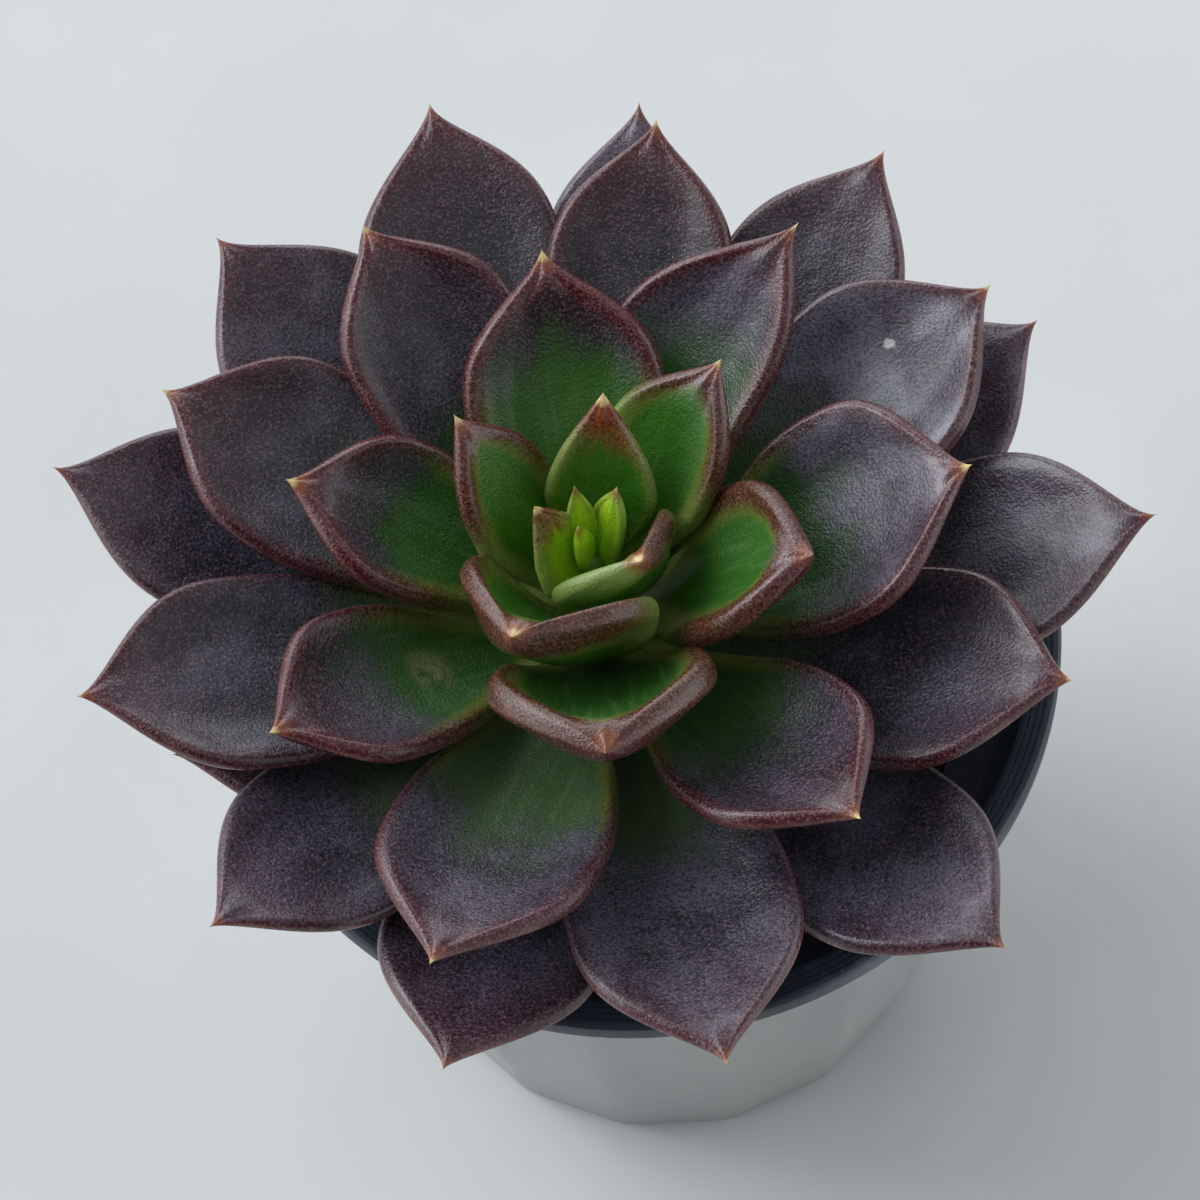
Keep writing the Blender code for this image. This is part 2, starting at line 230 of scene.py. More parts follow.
room = bpy.data.worlds.new("room")
room.use_nodes = True
room_nodes = room.node_tree.nodes
room_links = room.node_tree.links
room_light = room_nodes["Background"]
room_light.inputs["Color"].default_value = (*DAYLIGHT_COLOUR, 1)
room_way = room_nodes.new("ShaderNodeTexCoord").outputs["Generated"]
room_sum = None
for azimuth, height, spread, strength in DAYLIGHT:
    toward = room_nodes.new("ShaderNodeVectorMath")
    toward.operation = "DOT_PRODUCT"
    toward.inputs[1].default_value = (
        math.cos(math.radians(height)) * math.cos(math.radians(azimuth)),
        math.cos(math.radians(height)) * math.sin(math.radians(azimuth)), math.sin(math.radians(height)))
    room_links.new(room_way, toward.inputs[0])
    swell = room_nodes.new("ShaderNodeMapRange")
    swell.interpolation_type = "SMOOTHSTEP"
    swell.inputs["From Min"].default_value = math.cos(math.radians(spread))
    swell.inputs["To Max"].default_value = strength
    room_links.new(toward.outputs["Value"], swell.inputs["Value"])
    gather = room_nodes.new("ShaderNodeMath")
    gather.inputs[1].default_value = 0.0
    room_links.new(swell.outputs["Result"], gather.inputs[0])
    if room_sum:
        room_links.new(room_sum, gather.inputs[1])
    room_sum = gather.outputs["Value"]
room_links.new(room_sum, room_light.inputs["Strength"])
bpy.context.scene.world = room


# The faceted pot.
# A slip-cast stoneware pot with sixteen flat sides that lean out to a thick plain lip, in a
# satin grey glaze that pools a little darker in the folds. It stands on its unglazed foot.
RIM_Z = RIM_HEIGHT / MM
FACETS = 16
FACET_TURN = math.radians(-39.7)
FACETED_OUTSIDE = ((0.0, 34.8), (1.0, 35.8), (31.0, 40.2), (52.0, 42.1), (67.0, 43.3), (67.7, 43.0))
FACETED_WALL = 2.4
FACETED_FLOOR = 3.0
FOLD_ROUND = 1.5
LIP_ROUND = 0.5


def spun(profile, steps, turn=0.0, centre=(0.0, 0.0)):
    """Spin a profile of (radius, height), in mm, about an upright axis."""
    bm = bmesh.new()
    corners = [bm.verts.new((0, -radius, height)) for radius, height in profile]
    sides = [bm.edges.new(pair) for pair in zip(corners, corners[1:])]
    bmesh.ops.rotate(bm, verts=bm.verts, cent=(0, 0, 0), matrix=Matrix.Rotation(turn, 3, "Z"))
    bmesh.ops.spin(bm, geom=corners + sides, cent=(0, 0, 0), axis=(0, 0, 1), angle=2 * math.pi,
                   steps=steps, use_merge=True)
    bmesh.ops.remove_doubles(bm, verts=bm.verts, dist=0.001)
    bmesh.ops.recalc_face_normals(bm, faces=bm.faces)
    bmesh.ops.translate(bm, verts=bm.verts, vec=(*centre, 0))
    return bm


inset = FACETED_WALL / math.cos(math.pi / FACETS)
faceted_profile = [(0.0, 0.0)] + [(radius, height) for height, radius in FACETED_OUTSIDE]
faceted_profile += [(radius - inset, height) for height, radius in FACETED_OUTSIDE[:1:-1]]
faceted_profile += [(FACETED_OUTSIDE[1][1] - inset, FACETED_FLOOR), (0.0, FACETED_FLOOR)]
faceted_bm = spun(faceted_profile, FACETS, FACET_TURN)
folds = [edge for edge in faceted_bm.edges
         if abs(edge.verts[0].co.z - edge.verts[1].co.z) > 5 and edge.verts[0].co.xy.length > 30]
bmesh.ops.bevel(faceted_bm, geom=folds, offset=FOLD_ROUND, offset_type="OFFSET", segments=4, profile=0.5,
                affect="EDGES", material=-1)
lips = [edge for edge in faceted_bm.edges
        if abs(edge.verts[0].co.z - edge.verts[1].co.z) < 0.01 and edge.verts[0].co.z > 66.5
        and edge.calc_face_angle(0.0) > math.radians(20)]
bmesh.ops.bevel(faceted_bm, geom=lips, offset=LIP_ROUND * 0.5, offset_type="OFFSET", segments=2, profile=0.5,
                affect="EDGES", material=-1)

glaze = Finish("grey_glaze")
glaze_cloud = glaze.grain(26, 3.0, 0.55)
glaze_mottle = glaze.grain(2.6, 4.0, 0.6)
glaze_pin = glaze.grain(0.8, 1.0, 0.5)
glaze_colour = glaze.blend(glaze_cloud.rises(0.3, 0.7), paint(161, 164, 163), paint(171, 173, 171))
glaze_colour = glaze.blend(glaze_mottle.rises(0.52, 0.72) * 0.35, glaze_colour, paint(172, 174, 171))
glaze_colour = glaze.blend(glaze_pin.rises(0.70, 0.80) * 0.45, glaze_colour, paint(108, 110, 108))
glaze.wear(Base_Color=glaze_colour, Roughness=0.36 + glaze_mottle * 0.12, Specular_IOR_Level=0.5,
           Normal=glaze.bump(glaze_mottle * 0.7 + glaze_cloud, 0.12))
faceted = to_object("faceted_pot", faceted_bm, glaze.material, smooth_below=24)
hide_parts("outer_pot")


# The nursery pot.
# A thin moulded pot of blue-black polypropylene, with a collar that hangs in the faceted pot
# and a flat flange on top. The moulding tool left fine rings on the flange, and its outer
# edge is scuffed grey at the front.
RIM_R = 50.0
RIM_INNER_R = 46.4
FLANGE_DEEP = 3.0
COLLAR_R = 47.0
COLLAR_FOOT_R = 44.6
COLLAR_Z = 68.0
BODY_R = 39.8
BODY_FOOT_R = 31.0
BODY_FOOT_Z = 5.0
NURSERY_WALL = 1.1
FLANGE_RINGS = 3
RING_DEEP = 0.12
SCUFF_AT = (28.0, -41.0)

nursery_profile = [(0.0, BODY_FOOT_Z), (BODY_FOOT_R - 0.6, BODY_FOOT_Z), (BODY_FOOT_R, BODY_FOOT_Z + 0.6),
                   (BODY_R, COLLAR_Z), (COLLAR_FOOT_R - 0.3, COLLAR_Z), (COLLAR_FOOT_R, COLLAR_Z + 0.3),
                   (COLLAR_R, RIM_Z - FLANGE_DEEP), (RIM_R - 0.3, RIM_Z - FLANGE_DEEP),
                   (RIM_R, RIM_Z - FLANGE_DEEP + 0.3), (RIM_R, RIM_Z - 0.8), (RIM_R - 0.12, RIM_Z - 0.38),
                   (RIM_R - 0.4, RIM_Z - 0.10), (RIM_R - 0.8, RIM_Z)]
for ring in range(FLANGE_RINGS):
    ring_r = RIM_R - 1.25 - ring * 0.72
    nursery_profile += [(ring_r + 0.14, RIM_Z), (ring_r + 0.05, RIM_Z - RING_DEEP),
                        (ring_r - 0.05, RIM_Z - RING_DEEP), (ring_r - 0.14, RIM_Z)]
nursery_profile += [(RIM_INNER_R + 0.35, RIM_Z), (RIM_INNER_R + 0.1, RIM_Z - 0.1), (RIM_INNER_R, RIM_Z - 0.35),
                    (RIM_INNER_R - 0.3, RIM_Z - FLANGE_DEEP),
                    (COLLAR_FOOT_R - NURSERY_WALL + 1.0, COLLAR_Z + NURSERY_WALL + 4.4),
                    (COLLAR_FOOT_R - NURSERY_WALL + 0.8, COLLAR_Z + NURSERY_WALL + 4.0),
                    (COLLAR_FOOT_R - NURSERY_WALL, COLLAR_Z + NURSERY_WALL),
                    (BODY_R - NURSERY_WALL, COLLAR_Z + NURSERY_WALL),
                    (BODY_FOOT_R - NURSERY_WALL, BODY_FOOT_Z + NURSERY_WALL), (0.0, BODY_FOOT_Z + NURSERY_WALL)]
nursery_bm = spun(nursery_profile, 160)

plastic = Finish("black_plastic")
plastic_x = plastic.add("SeparateXYZ", {}, {"Vector": plastic.where()}, out=0)
plastic_y = plastic.add("SeparateXYZ", {}, {"Vector": plastic.where()}, out=1)
plastic_z = plastic.add("SeparateXYZ", {}, {"Vector": plastic.where()}, out=2)
plastic_r = (plastic_x * plastic_x + plastic_y * plastic_y) ** 0.5
plastic_fog = plastic.grain(14, 3.0, 0.6)
plastic_dust = plastic.grain(0.7, 3.0, 0.7)
plastic_nick = plastic.grain(1.3, 2.0, 0.6)
from_scuff = ((plastic_x - SCUFF_AT[0] * MM) ** 2 + (plastic_y - SCUFF_AT[1] * MM) ** 2) ** 0.5
scuff = (from_scuff + (plastic_nick - 0.5) * 0.010).rises(0.020, 0.006)
scuff = scuff * (plastic_r + (plastic_nick - 0.5) * 0.003).rises(0.0485, 0.0500)
plastic_colour = plastic.blend(plastic_fog.rises(0.3, 0.75), paint(26, 35, 47), paint(40, 50, 64))
plastic_colour = plastic.blend(plastic_dust.rises(0.58, 0.75) * 0.35, plastic_colour, paint(96, 102, 108))
plastic_colour = plastic.blend(scuff * 0.6, plastic_colour, paint(128, 136, 142))
plastic.wear(Base_Color=plastic_colour, Roughness=0.34 + plastic_fog * 0.18 + scuff * 0.2,
             Specular_IOR_Level=0.55, Normal=plastic.bump(plastic_dust * 0.5 + scuff * 0.6, 0.08))
nursery = to_object("nursery_pot_skin", nursery_bm, plastic.material, smooth_below=28)
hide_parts("nursery_pot")


# The soil.
# Dark peat with bark crumbs and a few pale grains of grit, filled into the nursery pot to
# just under its collar and sunk a little where it was watered.
SOIL_TOP = 66.6
SOIL_R = 37.9
SOIL_FLOOR = 6.4
SOIL_FLOOR_R = 29.6
CRUMBS = 420
STEM_AT = (-4.0, 0.0)

soil_bm = bmesh.new()
bmesh.ops.create_circle(soil_bm, cap_ends=True, segments=72, radius=SOIL_FLOOR_R)
bmesh.ops.translate(soil_bm, verts=soil_bm.verts, vec=(0, 0, SOIL_FLOOR))
wall = bmesh.ops.extrude_edge_only(soil_bm, edges=[edge for edge in soil_bm.edges if edge.is_boundary])["geom"]
brim = [part for part in wall if isinstance(part, bmesh.types.BMVert)]
bmesh.ops.scale(soil_bm, verts=brim, vec=(SOIL_R / SOIL_FLOOR_R, SOIL_R / SOIL_FLOOR_R, 1))
bmesh.ops.translate(soil_bm, verts=brim, vec=(0, 0, SOIL_TOP - 1.4 - SOIL_FLOOR))
for share in (0.95, 0.9, 0.84, 0.77, 0.7, 0.63, 0.56, 0.49, 0.42, 0.35, 0.28, 0.21, 0.14):
    open_edges = [edge for edge in soil_bm.edges if edge.is_boundary]
    step_in = bmesh.ops.extrude_edge_only(soil_bm, edges=open_edges)["geom"]
    for vert in (part for part in step_in if isinstance(part, bmesh.types.BMVert)):
        vert.co.xy = vert.co.xy.normalized() * SOIL_R * share
        vert.co.z = SOIL_TOP - 0.75 + 0.6 * noise.noise(vert.co * 0.28) - 0.6 * max(share - 0.7, 0)
open_edges = [edge for edge in soil_bm.edges if edge.is_boundary]
bmesh.ops.holes_fill(soil_bm, edges=open_edges)
crumb_dice = np.random.default_rng(11)
for _ in range(CRUMBS):
    away = 37.0 * math.sqrt(crumb_dice.uniform(0.03, 1.0))
    around = crumb_dice.uniform(0, 2 * math.pi)
    size = crumb_dice.uniform(0.35, 1.0) if crumb_dice.random() < 0.85 else crumb_dice.uniform(1.0, 1.7)
    crumb = bmesh.ops.create_icosphere(soil_bm, subdivisions=1, radius=size)["verts"]
    for vert in crumb:
        vert.co *= 1 + 0.35 * noise.noise(vert.co * 1.3 + Vector((away, around, size)) * 7)
        vert.co.z *= 0.65
    bmesh.ops.rotate(soil_bm, verts=crumb, cent=(0, 0, 0),
                     matrix=Matrix.Rotation(crumb_dice.uniform(0, 6), 3, "Z"))
    bmesh.ops.translate(soil_bm, verts=crumb, vec=(away * math.cos(around), away * math.sin(around),
                                                   SOIL_TOP - 0.9 + size * 0.4))
bmesh.ops.recalc_face_normals(soil_bm, faces=soil_bm.faces)

peat = Finish("potting_soil")
peat_patch = peat.grain(5, 4.0, 0.6)
peat_fleck = peat.grain(1.1, 3.0, 0.7)
peat_colour = peat.blend(peat_patch.rises(0.35, 0.7), paint(30, 23, 18), paint(62, 47, 35))
peat_colour = peat.blend(peat_fleck.rises(0.6, 0.7) * 0.7, peat_colour, paint(104, 80, 58))
peat_colour = peat.blend(peat_fleck.rises(0.36, 0.3), peat_colour, paint(152, 142, 126))
peat.wear(Base_Color=peat_colour, Roughness=0.86 + peat_fleck * 0.1, Specular_IOR_Level=0.25,
          Normal=peat.bump(peat_fleck + peat_patch, 0.6))
soil = to_object("soil_bed", soil_bm, peat.material, smooth_below=40)
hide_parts("soil")


# The stem.
# A short fat stem, green-brown and corky, ringed by the scars of leaves that have dropped.
# It stands in a plain hole in the soil and thins to the growing tip.
STEM_OUTLINE = ((-22.1, 4.0), (-21.6, 4.55), (2.0, 4.5), (5.5, 4.25), (8.5, 3.65), (11.2, 2.6), (13.0, 1.7),
                (13.6, 1.2))
SCAR_EVERY = 1.7

stem_profile = [(0.0, RIM_Z + STEM_OUTLINE[0][0])]
for height in np.arange(STEM_OUTLINE[0][0], STEM_OUTLINE[-1][0], 0.3):
    girth = float(np.interp(height, *zip(*STEM_OUTLINE)))
    ridge = 0.07 * math.cos(2 * math.pi * height / SCAR_EVERY)
    stem_profile.append((girth + ridge * min(girth, 1.0), RIM_Z + height))
stem_profile.append((0.0, RIM_Z + STEM_OUTLINE[-1][0] + 0.1))
stem_bm = spun(stem_profile, 48, centre=STEM_AT)

bark = Finish("stem_bark")
bark_patch = bark.grain(3.0, 4.0, 0.6)
bark_line = bark.grain(0.7, 3.0, 0.6, stretch=(1, 1, 2.5))
bark_colour = bark.blend(bark_patch.rises(0.35, 0.65), paint(70, 84, 40), paint(104, 84, 56))
bark_colour = bark.blend(bark_line.rises(0.55, 0.7) * 0.7, bark_colour, paint(58, 44, 32))
bark.wear(Base_Color=bark_colour, Roughness=0.62 + bark_patch * 0.2, Specular_IOR_Level=0.35,
          Normal=bark.bump(bark_line + bark_patch * 0.5, 0.25))
stem = to_object("stem_skin", stem_bm, bark.material, smooth_below=50)
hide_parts("stem")


# The leaves.
# Thick waxy blades on a short stem, each a little higher and 138 degrees further round than
# the last. The old ones are nearly black with a pale bloom, made stronger on those that face
# the window as painted sheen, and the young ones green with fleshy red-brown rims. Each ends in
# a small pale point.
LEAVES = (
    # azimuth, reach, tip height, width, bend, cup, turn, sway, roll
    (193, 52, 9.6, 24, 28, 0.14, 0, 0, 0),
    (247, 61, 15.8, 26, 28, 0.20, 0, 0, 0),
    (24, 61, 16, 24, 30, 0.13, 0, 0, 0),
    (159, 65, 17.8, 24, 24, 0.18, 0, 0, 0),
    (306, 65, 18, 24.5, 24, 0.20, 0, 0, 0),
    (77.5, 63, 18, 21.5, 26, 0.18, 0, 0, 0),
    (218, 60, 18.4, 23.6, 22, 0.22, 0, 0, 0),
    (356, 64, 20, 25.5, 26, 0.21, 0, 0, 0),
    (128, 63, 20.4, 26, 24, 0.18, 0, 0, 0),
    (276, 62, 20, 26, 20, 0.27, 0, 0, 0),
    (49, 63, 21.6, 23.2, 26, 0.18, 0, 0, 0),
    (188, 60, 21.6, 24.9, 16, 0.26, 0, 0, 0),
    (335, 56, 21, 26, 16, 0.26, -6, -0.02, 0),
    (100.4, 63, 23.8, 25, 16, 0.22, 0, 0.045, 0),
    (244, 53, 26, 25, 22, 0.31, 0, 0.01, 0),
    (28, 57, 22.4, 25.7, 18, 0.29, 0, 0, 0),
    (148, 55, 22, 25, 18, 0.28, 0, 0, 0),
    (302, 46, 27.9, 22.8, 24, 0.35, 0, 0, 0),
    (74.2, 55, 27, 22.2, 22, 0.30, 0, 0, 0),
    (207, 42, 28, 21, 28, 0.37, 0, -0.03, 0),
    (0, 43, 30, 27, 26, 0.35, -10, 0, 0),
    (116, 47, 30, 22, 28, 0.34, 0, 0, 0),
    (267.1, 28, 33, 25.6, 22, 0.45, 0, 0, 0),
    (49, 44, 31.3, 21, 28, 0.36, 0, 0.10, 0),
    (162, 34, 30, 19.8, 30, 0.36, 0, -0.03, 0),
    (338.2, 24.8, 33, 20.2, 26, 0.41, -12, 0.05, 0),
    (91, 34, 32, 23.5, 32, 0.38, 0, 0, 0),
    (236, 17, 34, 23, 12, 0.60, 20, 0, 15),
    (41.7, 23, 34, 16, 20, 0.36, 0, 0.03, 0),
    (312, 7.5, 30, 17, 10, 0.50, 18, 0, 0),
    (134.2, 18, 34.5, 13.7, 10, 0.22, 30, 0, 14),
    (73.4, 13.5, 34, 12.9, 8, 0.32, 0, 0, 6),
    (156, 6, 30, 11, 8, 0.20, 0, 0, -30),
    (45, 5.6, 29, 4.6, 4, 0.20, 0, 0, 0),
    (100, 4.5, 30, 3.6, 4, 0.25, 0, 0, 0),
    (150, 1.2, 27.4, 3.6, 4, 0.20, 0, 0, 0),
)
OWN_VALUES = {
    1: {"claw": 0.18},
    2: {"claw": 0.18},
    4: {"claw": 0.18},
    19: {"root_z": 5.8},
    22: {"root_z": 7.8},
    23: {"root_z": 7.6, "thick": 4.8, "rim": 4.4, "droop": 0.4, "shoulder": 2.4, "point": 1.1},
    24: {"root_z": 8.0, "widest": 0.5},
    25: {"root_z": 9.4},
    26: {"root_r": 4.2, "root_z": 9.8, "thick": 4.2, "rim": 3.4, "droop": 0.4, "point": 1.4},
    27: {"root_z": 9.8},
    28: {"root_r": 4.2, "thick": 4.4, "rim": 4.0, "shoulder": 2.4, "point": 1.1},
    29: {"root_r": 3.9, "root_z": 11.4},
    30: {"root_r": 3.0, "root_z": 13.0, "root_thick": 1.5, "thick": 3.0, "rim": 2.8,
         "shoulder": 2.4, "point": 1.1},
    31: {"claw": 0.28, "root_r": 4.4, "root_z": 11.8, "thick": 2.8, "rim": 2.5},
    32: {"claw": 0.3, "root_r": 2.9, "root_z": 13.2, "root_thick": 1.5, "thick": 2.6,
         "rim": 2.0, "widest": 0.42, "shoulder": 1.8, "point": 1.15},
    33: {"root_r": 1.1, "root_z": 15.2, "root_thick": 1.5, "rim": 1.2, "droop": 0.0,
         "widest": 0.3, "shoulder": 1.15, "point": 1.0},
    34: {"claw": 0.75, "root_r": 1.1, "root_z": 15.2, "root_thick": 1.5, "thick": 2.6,
         "droop": 0.0, "widest": 0.5},
    35: {"claw": 0.75, "root_r": 1.1, "root_z": 15.2, "root_thick": 1.5, "droop": 0.0, "widest": 0.45},
    36: {"root_r": 0.5, "root_z": 18.0, "thick": 1.8, "droop": 0.0, "shoulder": 1.8, "point": 1.2},
}
FIRST_HEART_LEAF = 33
# How far along each leaf the green reaches, and how much pale wax bloom lies on the dark part,
# made stronger on the leaves that face the window as painted sheen.
LOOKS = (
    (0.20, 0.3), (0.30, 0.4), (0.10, 1.4), (0.15, 0.3), (0.10, 0.8), (0.10, 1.0), (0.50, 0.5), (0.40, 0.6),
    (0.35, 0.6), (0.45, 0.8), (0.30, 0.4), (0.42, 0.3), (0.30, 0.3), (0.30, 0.0), (0.55, 0.7), (0.42, 1.5),
    (0.45, 0.2), (0.55, 0.3), (0.35, 0.0), (0.60, 0.3), (0.55, 0.9), (0.45, 0.1), (1.00, 0.2), (0.60, 0.5),
    (0.60, 0.1), (0.92, 0.4), (0.65, 0.0), (1.10, 0.1), (0.95, 0.4), (1.30, 0.0), (0.95, 0.3), (0.80, 0.0),
    (0.72, 0.0), (1.40, 0.0), (1.05, 0.0), (1.40, 0.0),
)
# How wide the dark rim of a leaf is, where along it the rim starts, how small its pale point
# is, and how much later the rim starts on its right side, where that differs from the rule.
OWN_RIMS = {
    23: (4.2, 0.22, 0.6, 0.0),
    26: (4.4, 0.25, 0.6, 0.0),
    28: (3.6, 0.30, 0.6, 0.15),
    29: (2.8, 0.35, 0.3, 0.2),
    30: (2.4, 0.90, 0.7, -0.45),
    31: (2.6, 0.35, 0.2, 0.0),
    32: (0.9, 0.70, 0.2, 0.0),
    33: (1.6, 0.68, 0.5, 0.1),
    34: (0.4, 0.85, 0.9, 0.0),
    35: (0.2, 0.90, 0.9, 0.0),
    36: (-1.0, 0.90, 0.9, 0.0),
}
# A dried drop on one leaf and an old scar on another: how far along the leaf and how many mm to
# its right each lies, how wide it is, and how white.
OWN_MARKS = {
    16: (0.76, 2.7, 0.8, 1.0),
    20: (0.43, -0.3, 4.2, 0.0),
}
NO_MARK = (-1.0, 0.0, 1.0, 0.0)
LEAF_ROUND = 56
LEAF_BANDS = 80


def leaf_values(number):
    """All the sizes of one leaf, in mm and degrees, counted from 1 at the lowest."""
    names = ("azimuth", "reach", "tip_z", "width", "bend", "cup", "turn", "sway", "roll")
    n = number - 1
    heart = number >= FIRST_HEART_LEAF
    values = dict(zip(names, LEAVES[n]))
    values["thick"] = 2.2 if heart else 3.0 if n < 13 else 3.4 if n < 21 else 4.0
    values["rim"] = 1.6 if heart else 2.1 if n < 13 else 2.6 if n < 21 else 3.0
    values["droop"] = 0.25
    values["root_thick"] = 1.9
    values["widest"] = 0.35 if heart else 0.62 if n < 21 else 0.62 - 0.022 * (n - 21)
    values["claw"] = 0.60 if heart else 0.22 if n < 27 else 0.26
    values["root_r"] = 5.0 if n < 19 else 5.0 - 0.13 * (n - 19)
    values["root_z"] = -3.0 + 0.5 * n
    values["shoulder"] = 3.3 if n < 24 else 3.1
    values["point"] = 1.9 if n < 24 else 1.8
    values["fade"] = 12 if n < 22 else 30
    values.update(OWN_VALUES.get(number, {}))
    return values


def soft_least(first, second):
    """The smaller of two sizes, with a smooth change from one to the other."""
    first = np.maximum(first, 1e-6)
    second = np.maximum(second, 1e-6)
    return (first ** -4.0 + second ** -4.0) ** -0.25


def leaf_skin(leaf, t, a, number):
    """Points of a leaf's skin at t along it and angle a round its section, and what its finish reads."""
    azimuth = math.radians(leaf["azimuth"])
    root_azimuth = azimuth + math.radians(leaf["turn"])
    tip = np.array((STEM_AT[0] + leaf["reach"] * math.cos(azimuth),
                    STEM_AT[1] + leaf["reach"] * math.sin(azimuth), leaf["tip_z"]))
    root = np.array((STEM_AT[0] + leaf["root_r"] * math.cos(root_azimuth),
                     STEM_AT[1] + leaf["root_r"] * math.sin(root_azimuth), leaf["root_z"]))
    step = tip - root
    run = math.hypot(step[0], step[1])
    head = math.atan2(step[1], step[0])
    slope = math.atan2(step[2], run)
    half = math.radians(leaf["bend"]) / 2
    length = math.hypot(run, step[2]) * half / math.sin(half)
    radius = length / (2 * half)

    # The middle line is an arc that rises more and more steeply to the tip.
    angle = slope - half + 2 * half * t
    along = radius * (np.sin(angle) - math.sin(slope - half))
    rise = radius * (math.cos(slope - half) - np.cos(angle))
    outward = np.array((math.cos(head), math.sin(head), 0.0))
    sideways = np.array((-math.sin(head), math.cos(head), 0.0))
    upward = np.array((0.0, 0.0, 1.0))
    middle = root + np.outer(along, outward) + np.outer(rise, upward)
    middle = middle + np.outer(leaf["sway"] * np.sin(math.pi * t) * length, sideways)
    normal = np.outer(np.cos(angle), upward) - np.outer(np.sin(angle), outward)
    rolled = math.radians(leaf["roll"]) * np.minimum(t / 0.5, 1.0)
    side = sideways * np.cos(rolled)[:, None] + normal * np.sin(rolled)[:, None]
    face = normal * np.cos(rolled)[:, None] - sideways * np.sin(rolled)[:, None]

    # Outline: narrow at the root, widest past the middle, and drawn out to a point.
    low = leaf["claw"] + (1 - leaf["claw"]) * np.sin(math.pi / 2 * np.minimum(t / leaf["widest"], 1)) ** 1.5
    past = np.clip((t - leaf["widest"]) / (1 - leaf["widest"]), 0, 1)
    high = (1 - past ** leaf["shoulder"]) ** leaf["point"]
    half_width = leaf["width"] / 2 * np.where(t < leaf["widest"], low, high)
    narrows = past ** (leaf["shoulder"] - 1) * (1 - past ** leaf["shoulder"]) ** (leaf["point"] - 1)
    narrows = narrows * leaf["width"] / 2 * leaf["shoulder"] * leaf["point"] / (1 - leaf["widest"]) / length

    # Section: a plate, thicker in the middle, between two thick round rims, which stay round
    # where the outline runs slantwise to the point.
    fade = 1 - 0.97 * np.clip((t - 0.45) / 0.55, 0, 1) ** leaf["fade"]
    swell = np.sin(math.pi / 2 * np.clip(t / 0.45, 0, 1)) ** 2
    rim_root = 0.7 * leaf["root_thick"]
    rim = soft_least((rim_root + (leaf["rim"] - rim_root) * swell) / 2 * fade, 0.6 * half_width)
    middle_half = (leaf["root_thick"] + (leaf["thick"] - leaf["root_thick"]) * swell) / 2 * fade
    middle_half = np.maximum(soft_least(middle_half, 0.7 * half_width), rim)
    rim_wide = soft_least(rim * np.sqrt(1 + narrows ** 2), 0.8 * half_width)
    folded = np.arcsin(np.clip(np.abs(np.sin(a)), 0, 1)) / (math.pi / 4)
    round_rim = np.clip(folded, 0, 1) * math.pi / 2
    over_face = np.clip(folded - 1, 0, 1)
    flat_half = half_width - rim_wide
    across = np.where(folded < 1, flat_half + rim_wide * np.cos(round_rim), flat_half * (1 - over_face))
    bulge = rim * np.sin(round_rim) + (middle_half - rim) * np.sin(over_face * math.pi / 2)
    # The face is hollow, and its two sides rise to a crest and roll over at their very edge.
    outward_share = across / np.maximum(half_width, 1e-6)
    lift = np.sin(math.pi / 2 * outward_share ** 1.8) ** 2
    hollow = leaf["cup"] * half_width * (lift * np.clip(t / 0.45, 0.25, 1) - 0.15)
    from_edge = half_width / 2 * (1 - outward_share ** 2)
    past_crest = np.clip(1 - from_edge / (1.2 * leaf["rim"]), 0, 1)
    hollow = hollow - leaf["droop"] * leaf["rim"] * swell * past_crest ** 2
    edge = rim * round_rim + flat_half * over_face
    dent = 0.10 * np.sin(7 * t + number) * np.sin(math.pi * t) * np.sin(over_face * math.pi)
    across = across * np.sign(np.cos(a))
    bulge = (bulge + dent) * np.sign(np.sin(a))
    points = middle + across[:, None] * side + (bulge + hollow)[:, None] * face
    reads = {
        "along": t,
        "edge": edge,
        "across": across,
        "tip": np.linalg.norm(points - tip, axis=1),
    }
    return points, reads


def add_leaf(name, number, material, marks):
    """A leaf starts as a ball: one pole is the middle of its root, the other is its tip."""
    leaf = leaf_values(number)
    bm = bmesh.new()
    bmesh.ops.create_uvsphere(bm, u_segments=LEAF_ROUND, v_segments=LEAF_BANDS, radius=1.0)
    ball = np.array([vert.co for vert in bm.verts])
    t = np.clip((1 + ball[:, 2]) / 2, 0, 1)
    a = np.arctan2(ball[:, 1], ball[:, 0]) % (2 * math.pi)
    mirrored = np.where(a > math.pi, a - 2 * math.pi, a)
    points, reads = leaf_skin(leaf, t, mirrored, number)
    root_pole = int(np.argmin(ball[:, 2]))
    ends = leaf_skin(leaf, np.zeros(2), np.array((0.0, math.pi)), number)[0]
    points[root_pole] = ends.mean(axis=0)
    points[:, 2] += RIM_Z
    for vert, point in zip(bm.verts, points):
        vert.co = point
    bmesh.ops.recalc_face_normals(bm, faces=bm.faces)
    piece = to_object(name, bm, material)
    reads.update({key: np.full(len(t), value) for key, value in marks.items()})
    for key, values in reads.items():
        layer = piece.data.attributes.new(key, "FLOAT", "POINT")
        layer.data.foreach_set("value", values.astype(np.float32))
    return piece


